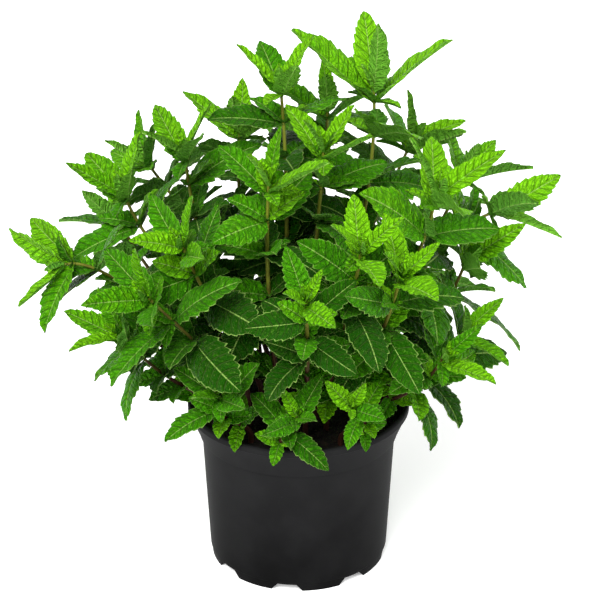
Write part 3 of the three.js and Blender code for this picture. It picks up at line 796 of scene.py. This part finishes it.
def leaf_blank(name, plan):
    """A flat slab whose points say how far along and across a leaf they are, above or below."""
    pick()
    rows = plan["veins"] * plan["rows"]
    columns = 2 * (len(plan["across"]) - 1)
    bpy.ops.mesh.primitive_grid_add(x_subdivisions=rows, y_subdivisions=columns, size=2)
    blank = bpy.context.active_object
    blank.name = name
    places = [-share for share in plan["across"][:0:-1]] + plan["across"]
    for point in blank.data.vertices:
        point.co.x = round((point.co.x + 1) / 2 * rows) / rows
        point.co.y = places[round((point.co.y + 1) / 2 * columns)]
    bpy.ops.object.mode_set(mode="EDIT")
    bpy.ops.mesh.select_all(action="SELECT")
    bpy.ops.mesh.extrude_region_move(TRANSFORM_OT_translate={"value": (0, 0, -1)})
    bpy.ops.mesh.select_all(action="SELECT")
    bpy.ops.mesh.normals_make_consistent(inside=False)
    bpy.ops.object.mode_set(mode="OBJECT")
    return blank


def smooth(share):
    """0 up to 0, 1 from 1 on, and a smooth rise between them."""
    share = np.clip(share, 0, 1)
    return share * share * (3 - 2 * share)


def note(mesh, name, values):
    """Keeps a number, or three, at each point of a mesh for its paint to read."""
    kind, field = ("FLOAT", "value") if values.ndim == 1 else ("FLOAT_VECTOR", "vector")
    mesh.attributes.new(name, kind, "POINT").data.foreach_set(field, values.ravel())


def bent_leaf(blank, plan, leaf, number, tone):
    """A copy of the blank, bent to a leaf's place with its teeth, quilting and waved edge."""
    mesh = blank.data.copy()
    flat = np.zeros(len(mesh.vertices) * 3)
    mesh.vertices.foreach_get("co", flat)
    along, across, layer = flat.reshape(-1, 3).T
    edge = np.abs(across)
    below = layer < -0.5
    vein = along * plan["veins"]
    phase = vein % 1
    toothed = (along > TOOTHED[0]) * (along < TOOTHED[1])
    tooth = np.where(phase < TOOTH_FALL, phase / TOOTH_RISE, 0).clip(0, 1) * toothed
    s = along + VEIN_SLANT * edge * along * (1 - along) + TOOTH_LEAN * tooth * edge**6
    s = np.where(along > LEAF_END, 1, s)
    root = smooth((s - ROOT_START) / ROOT_LENGTH)
    stalk = STALK_WIDTH + STALK_FLARE * edge
    width = np.maximum(leaf["half"] * leaf_shape(s) * root, stalk * (s < 0.5))
    age = min(max(leaf["age"], 0), 1)
    blunt = BLUNTNESS * age * np.clip(BLUNT_RATE * (s - BLUNT_FROM), 0, 1) * (1 - s**12)
    own_tooth = np.floor(vein) + EDGE_STEP * np.sign(across)
    uneven = 1 + UNEVENNESS * np.sin(SCATTER[0] * own_tooth + SCATTER[1] * number)
    jagged = TOOTH_DEPTH * (tooth - TOOTH_MIDDLE) * uneven * edge**5 * root
    width = width * (1 + blunt) * (1 + jagged)
    width = np.where(s > LEAF_END, TIP_WIDTH, width)
    half = across * width
    quilt = np.sin(np.pi * phase).clip(0) ** 0.7 * 4 * edge * (1 - 0.8 * edge) * root
    quilt = quilt * np.clip((1 - along) * 5, 0, 1)
    wave = np.sin(2 * np.pi * (along * WAVES + WAVE_STEP * number)) * edge**3 * root
    ripple = np.sin(2 * np.pi * (vein + 0.25)) * edge**4 * root
    rib = np.exp(-((across / RIB_WIDTH) ** 2))
    swell = QUILT_DEPTH * quilt + WAVE_DEPTH * wave + RIPPLE_DEPTH * ripple
    lift = leaf["half"] * swell - RIB_DEPTH * rib * root
    thick = np.where(below, LEAF_THICKNESS, 0) * (1 + RIB_THICKENING * rib)
    points = leaf_points(leaf, s, half, lift - thick + LEAF_THICKNESS / 2)
    mesh.vertices.foreach_set("co", (points * MM).ravel())
    count = len(along)
    note(mesh, "age", np.full(count, leaf["age"]))
    note(mesh, "tone", np.full(count, tone))
    note(mesh, "under", below.astype(float))
    note(mesh, "ribs", np.stack([vein, across, along], 1))
    net = (along * leaf["length"], NET_SQUEEZE * half, np.full(count, NET_STEP * number))
    note(mesh, "net", np.stack(net, 1))
    mesh.shade_smooth()
    return new_object("leaf", mesh)


def cane(stem):
    """A square stem with rounded corners, drawn along its route and thinner towards its tip."""
    spine = [stem.points[0] - (0, 0, UPRIGHT + CANE_BURIED)]
    spine += [stem.at(stem.length * (1 - place / CANE_STEPS))[0] for place in range(CANE_STEPS + 1)]
    route = bpy.data.curves.new("cane", "CURVE")
    route.dimensions = "3D"
    route.bevel_mode = "OBJECT"
    route.bevel_object = cane_section
    route.use_fill_caps = True
    line = route.splines.new("POLY")
    line.points.add(len(spine) - 1)
    for place, (point, centre) in enumerate(zip(line.points, spine)):
        share = max(0, place - 1) / CANE_STEPS
        point.co = (*(centre * MM), 1)
        point.radius = CANE_FOOT_RADIUS + (CANE_TIP_RADIUS - CANE_FOOT_RADIUS) * share
    made = new_object("cane", route)
    pick(made)
    bpy.ops.object.convert(target="MESH")
    bpy.ops.object.shade_smooth()
    return made


def hairs(stem, number):
    """Short hairs that stand out from the upper part of a stem, each a thin spike."""
    luck = np.random.RandomState(HAIR_SEED + number)
    points = []
    faces = []
    for hair in range(HAIRS):
        place, along = stem.at(stem.length * HAIRY_SHARE * luck.rand())
        side = unit(np.cross(along, luck.normal(size=3)))
        length = HAIR_LENGTH[0] + (HAIR_LENGTH[1] - HAIR_LENGTH[0]) * luck.rand()
        lean = HAIR_LEAN * (1 - HAIR_STRAY * luck.rand())
        foot = place + side * CANE_TIP_RADIUS * ROOTING
        beside = np.cross(side, along)
        for turn in HAIR_CORNERS:
            points.append(foot + HAIR_RADIUS * (along * math.cos(turn) + beside * math.sin(turn)))
        points.append(foot + length * unit(side + along * lean))
        faces += [[4 * hair + k, 4 * hair + (k + 1) % 3, 4 * hair + 3] for k in range(3)]
    mesh = bpy.data.meshes.new("hairs")
    mesh.from_pydata((np.array(points) * MM).tolist(), [], faces)
    return new_object("hairs", mesh)


def small_leaf(node, sky, azimuth, spread, length, form):
    """A leaf of a bud or a side shoot."""
    leaf = place_leaf(*node, sky, math.radians(azimuth), math.radians(spread), 0)
    return leaf | form | {"length": length, "half": form["width"] * length}


def small_leaves(number, stem, nodes):
    """Two pairs of leaves wrapped round the tip, and a side shoot in the corner of each leaf."""
    leaves = []
    place, along = stem.at(0)
    for pair, (size, spread) in enumerate(TIP_PAIRS):
        for half in (0, 180):
            azimuth = stem.turn + 90 * (pair + 1) + half
            node = (place + along * pair, along)
            leaf = small_leaf(node, stem.sky, azimuth, spread, stem.long * size, TIP_LEAF)
            leaf["age"] = TIP_AGE
            leaves.append(leaf)
    for (place, along), azimuth, pair in nodes[1:]:
        for half in (0, 180):
            for side, spread, size in SIDE_LEAVES:
                near = (np.abs(blade_points - place) < LONGEST_SHOOT + NEARBY).all(1)
                turn = azimuth + half + side
                node = (place + along * SHOOT_FOOT, along)
                for share, lean in SHOOT_TRIES:
                    length = stem.long * (SHOOT_SHARE + SHOOT_GAIN * pair) * size * share
                    length = min(length, LONGEST_SHOOT)
                    leaf = small_leaf(node, stem.sky, turn, spread + lean, length, SHOOT_LEAF)
                    points = lattice_of(leaf)
                    if is_clear(points, number, near):
                        break
                leaf["age"] = SHOOT_AGE + SHOOT_GAIN * pair
                add_blade(points, number)
                leaves.append(leaf)
    return leaves


leaf_paint, wire = new_paint("mint leaf")
age = wire.node("ShaderNodeAttribute", {"attribute_name": "age"}, {}, "Fac")
tone = wire.node("ShaderNodeAttribute", {"attribute_name": "tone"}, {}, "Fac")
under = wire.node("ShaderNodeAttribute", {"attribute_name": "under"}, {}, "Fac")
ribs = wire.node("ShaderNodeAttribute", {"attribute_name": "ribs"}, {}, "Vector")
net = wire.node("ShaderNodeAttribute", {"attribute_name": "net"}, {}, "Vector")
vein_count = wire.node("ShaderNodeSeparateXYZ", {}, {"Vector": ribs}, "X")
across = wire.node("ShaderNodeSeparateXYZ", {}, {"Vector": ribs}, "Y")
along = wire.node("ShaderNodeSeparateXYZ", {}, {"Vector": ribs}, "Z")

# The veins: how far a point lies from the midrib, from the next side vein and from the edge.
off_rib = wire.maths("ABSOLUTE", across)
side_phase = wire.maths("FRACT", vein_count + 0.04 * across)
off_vein = wire.maths("ABSOLUTE", side_phase - 0.5) * 2
side_vein = off_vein.step(0.8, 0.98) * (1 - off_rib.step(0.7, 1.0))
mid_rib = 1 - (off_rib * (1.3 - along)).step(0.008, 0.034)
margin = off_rib.step(0.93, 0.99)

# The quilting: large and small cells that swell between the fine net of veins.
to_edge = {"feature": "DISTANCE_TO_EDGE"}
cells = wire.node("ShaderNodeTexVoronoi", to_edge, {"Vector": net, "Scale": 0.4}, "Distance")
fine_cells = wire.node("ShaderNodeTexVoronoi", to_edge, {"Vector": net, "Scale": 1.0}, "Distance")
pillow = cells.step(0.0, 0.42)
groove = 1 - cells.step(0.02, 0.16)
fine_groove = 1 - fine_cells.step(0.02, 0.2)
speckle = wire.node("ShaderNodeTexNoise", {}, {"Vector": net, "Scale": 0.35, "Detail": 5.0}, "Fac")

# Ripeness and painted shade: leaves are bright while they are young and darker with age, and they are
# painted darker in a band low in the bush, where the leaves above shade them.
place = wire.node("ShaderNodeTexCoord", {}, {}, "Object")
height = wire.node("ShaderNodeSeparateXYZ", {}, {"Vector": place}, "Z")
# Painted shade: leaves in this band count as riper, so they are darker.
shaded = 0.28 * (height.step(0.11, 0.15) - height.step(0.16, 0.27))
ripe_and_shade_sum = age + shaded + 0.28 * tone + (speckle - 0.5) * 0.5 - 0.06
ripeness_and_shade = ripe_and_shade_sum.step(-0.15, 1.05)
young = ripeness_and_shade.step(0.0, 0.45).mixed(LEAF_YOUNG, LEAF_FRESH)
blade = ripeness_and_shade.step(0.45, 1.0).mixed(young, LEAF_OLD)

# The colours, from the blade up to the veins, with painted shade in the grooves and a painted highlight
# on the cells, then the relief that they share.
# Painted shade: the grooves of the net and the side veins are painted dark on the upper side.
painted_groove_shade = wire.maths("MAXIMUM", groove, side_vein * (1 - 0.65 * ripeness_and_shade))
painted_groove_shade = wire.maths("MAXIMUM", painted_groove_shade, fine_groove * 0.5) * (1 - under)
# Painted highlight: the middle of each cell of the net is painted paler, less so on riper leaves.
lit = pillow * fine_cells.step(0.1, 0.5) * 0.38 * (1 - 0.5 * ripeness_and_shade)
blade = lit.mixed(blade, LEAF_LIT)
blade = (painted_groove_shade * 0.6).mixed(blade, LEAF_GROOVE_SHADE)
blade = (under * 0.75).mixed(blade, UNDER_PALE)
veins = wire.maths("MAXIMUM", mid_rib * (0.75 - 0.15 * ripeness_and_shade), margin * ripeness_and_shade * 0.6)
veins = wire.maths("MAXIMUM", veins, side_vein * ripeness_and_shade * 0.06)
blade = veins.mixed(blade, VEIN_PALE)
raised = pillow * 0.8 + fine_cells.step(0.0, 0.4) * 0.25 + speckle * 0.25
relief = (raised - side_vein * 0.9 - mid_rib * 0.1) * (1 - 2 * under)
bump = wire.node("ShaderNodeBump", {}, {"Strength": 1.0, "Distance": 0.0015, "Height": relief}, "Normal")
rough = 0.33 + 0.14 * speckle + 0.25 * under
skin = wire.node(
    "ShaderNodeBsdfPrincipled",
    {},
    {
        "Base Color": blade,
        "Roughness": rough,
        "IOR": 1.3,
        "Specular IOR Level": 0.25,
        "Specular Tint": (0.75, 1, 0.3, 1),
        "Sheen Weight": 0.04,
        "Sheen Roughness": 0.4,
        "Sheen Tint": (0.7, 1, 0.3, 1),
        "Normal": bump,
    },
)
glow = wire.node("ShaderNodeBsdfTranslucent", {}, {"Color": LEAF_GLOW, "Normal": bump})
thin = 0.23 - 0.13 * ripeness_and_shade
leaf_surface = wire.node("ShaderNodeMixShader", {}, {0: thin, 1: skin, 2: glow})
wire.node("ShaderNodeOutputMaterial", {}, {"Surface": leaf_surface})

cane_paint, wire = new_paint("mint stem")
place = wire.node("ShaderNodeTexCoord", {}, {}, "Object")
height = wire.node("ShaderNodeSeparateXYZ", {}, {"Vector": place}, "Z")
streak = wire.node("ShaderNodeTexNoise", {}, {"Vector": place, "Scale": 170.0, "Detail": 4.0}, "Fac")
woody = (height + (streak - 0.5) * 0.12).step(0.125, 0.23)
shade = woody.mixed(CANE_BROWN, CANE_GREEN)
bump = wire.node("ShaderNodeBump", {}, {"Strength": 0.4, "Distance": 0.0004, "Height": streak}, "Normal")
bark = wire.node(
    "ShaderNodeBsdfPrincipled",
    {},
    {"Base Color": shade, "Roughness": 0.6, "Specular IOR Level": 0.15, "Normal": bump},
)
wire.node("ShaderNodeOutputMaterial", {}, {"Surface": bark})

pick()
bpy.ops.mesh.primitive_circle_add(vertices=CANE_CORNERS, radius=MM)
cane_section = bpy.context.active_object
cane_section.name = "cane section"
for point in cane_section.data.vertices:
    point.co *= 1 + CANE_SQUARENESS * math.cos(4 * math.atan2(point.co.y, point.co.x))
bpy.ops.object.convert(target="CURVE")

fine_cut = (leaf_blank("fine leaf blank", FINE), FINE)
shoot_cut = (leaf_blank("side shoot leaf blank", SHOOT), SHOOT)
bud_cut = (leaf_blank("bud leaf blank", BUD), BUD)
blanks = [fine_cut[0], shoot_cut[0], bud_cut[0]]
for blank in blanks:
    blank.data.materials.append(leaf_paint)
grown = [grow_stem(number, stem) for number, stem in enumerate(stems)]
chance = np.random.RandomState(TONE_SEED)
for number, stem in enumerate(stems):
    leaves, nodes = grown[number]
    pale = SUNNY_TONE if number + 1 in SUNNY else SHADY_TONE
    made = []
    for place, leaf in enumerate(leaves, LEAF_NUMBERS * number):
        tone = chance.uniform(-1, 1) + pale
        made.append(bent_leaf(*fine_cut, leaf, place, tone))
    for place, leaf in enumerate(small_leaves(number, stem, nodes), LEAF_NUMBERS * number):
        tone = chance.uniform(-1, 1) + pale
        cut = shoot_cut if leaf["length"] > SHOOT_LENGTH else bud_cut
        made.append(bent_leaf(*cut, leaf, place, tone))
    leafy = cane(stem)
    leafy.data.materials.append(cane_paint)
    down = hairs(stem, number)
    down.data.materials.append(cane_paint)
    pick(*made, down, leafy)
    bpy.ops.object.join()
    leafy.name = f"leafy_stem_{number + 1:02d}"
    leafy.data.name = leafy.name
    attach(leafy, "root")
    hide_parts(f"stem_{number + 1:02d}")
for spare in (*blanks, cane_section):
    bpy.data.objects.remove(spare)

# ---------------------------------------------------------------------------------------------
# Studio. A pale floor, a wide soft light from above and behind the camera, a strip at the right
# that gives the pot its soft upright sheen, and the camera where the photograph was taken from.
# ---------------------------------------------------------------------------------------------

CAMERA_DISTANCE = 1200
CAMERA_RISE = 25.0
CAMERA_FOCUS = 2090  # pixels
PICTURE_WIDTH = 600  # pixels
SENSOR_WIDTH = 36
AIM_HEIGHT = 163.5
AIM_SIDE = 0.9
FLOOR_SIZE = 36  # metres, as the places and sizes of the lamps are
KEY_POWER = 4.8
KEY_SPREAD = 35
KEY_TILT = 42
KEY_TURN = -22
STRIP_POWER = 5
STRIP_WIDTH = 0.25
STRIP_HEIGHT = 0.9
STRIP_PLACE = (1.0, -0.35, 0.5)
STRIP_AIM = (0, 0, 0.12)
ROOM_LIGHT = 0.75

pick()
bpy.ops.mesh.primitive_plane_add(size=FLOOR_SIZE)
floor = bpy.context.active_object
floor.name = "floor"
floor_paint, wire = new_paint("pale floor")
matt = wire.node(
    "ShaderNodeBsdfPrincipled",
    {},
    {
        "Base Color": (0.9, 0.9, 0.9, 1),
        "Roughness": 0.8,
        "Emission Color": (1, 1, 1, 1),
        "Emission Strength": 0.3,
    },
)
wire.node("ShaderNodeOutputMaterial", {}, {"Surface": matt})
floor.data.materials.append(floor_paint)

rise = math.radians(CAMERA_RISE)
lens = bpy.data.cameras.new("camera")
lens.sensor_width = SENSOR_WIDTH
lens.lens = SENSOR_WIDTH * CAMERA_FOCUS / PICTURE_WIDTH
lens.clip_start = 0.05
lens.clip_end = 20
camera = new_object("camera", lens)
camera.location = (
    AIM_SIDE * MM,
    -CAMERA_DISTANCE * math.cos(rise) * MM,
    (AIM_HEIGHT + CAMERA_DISTANCE * math.sin(rise)) * MM,
)
camera.rotation_euler = (math.pi / 2 - rise, 0, 0)
bpy.context.scene.camera = camera

sun = bpy.data.lights.new("soft key", "SUN")
sun.energy = KEY_POWER
sun.angle = math.radians(KEY_SPREAD)
key = new_object("soft key", sun)
key.rotation_euler = (math.radians(KEY_TILT), 0, math.radians(KEY_TURN))

strip = bpy.data.lights.new("right strip", "AREA")
strip.shape = "RECTANGLE"
strip.size = STRIP_WIDTH
strip.size_y = STRIP_HEIGHT
strip.energy = STRIP_POWER
side_light = new_object("right strip", strip)
side_light.location = STRIP_PLACE
away = np.array(STRIP_PLACE) - STRIP_AIM
tilt = math.atan2(math.hypot(away[0], away[1]), away[2])
side_light.rotation_euler = (tilt, 0, math.atan2(away[1], away[0]) + math.pi / 2)

world = bpy.data.worlds.new("pale room")
world.use_nodes = True
world.node_tree.nodes["Background"].inputs["Color"].default_value = (1, 1, 1, 1)
world.node_tree.nodes["Background"].inputs["Strength"].default_value = ROOM_LIGHT
bpy.context.scene.world = world
bpy.context.scene.view_settings.view_transform = "Standard"
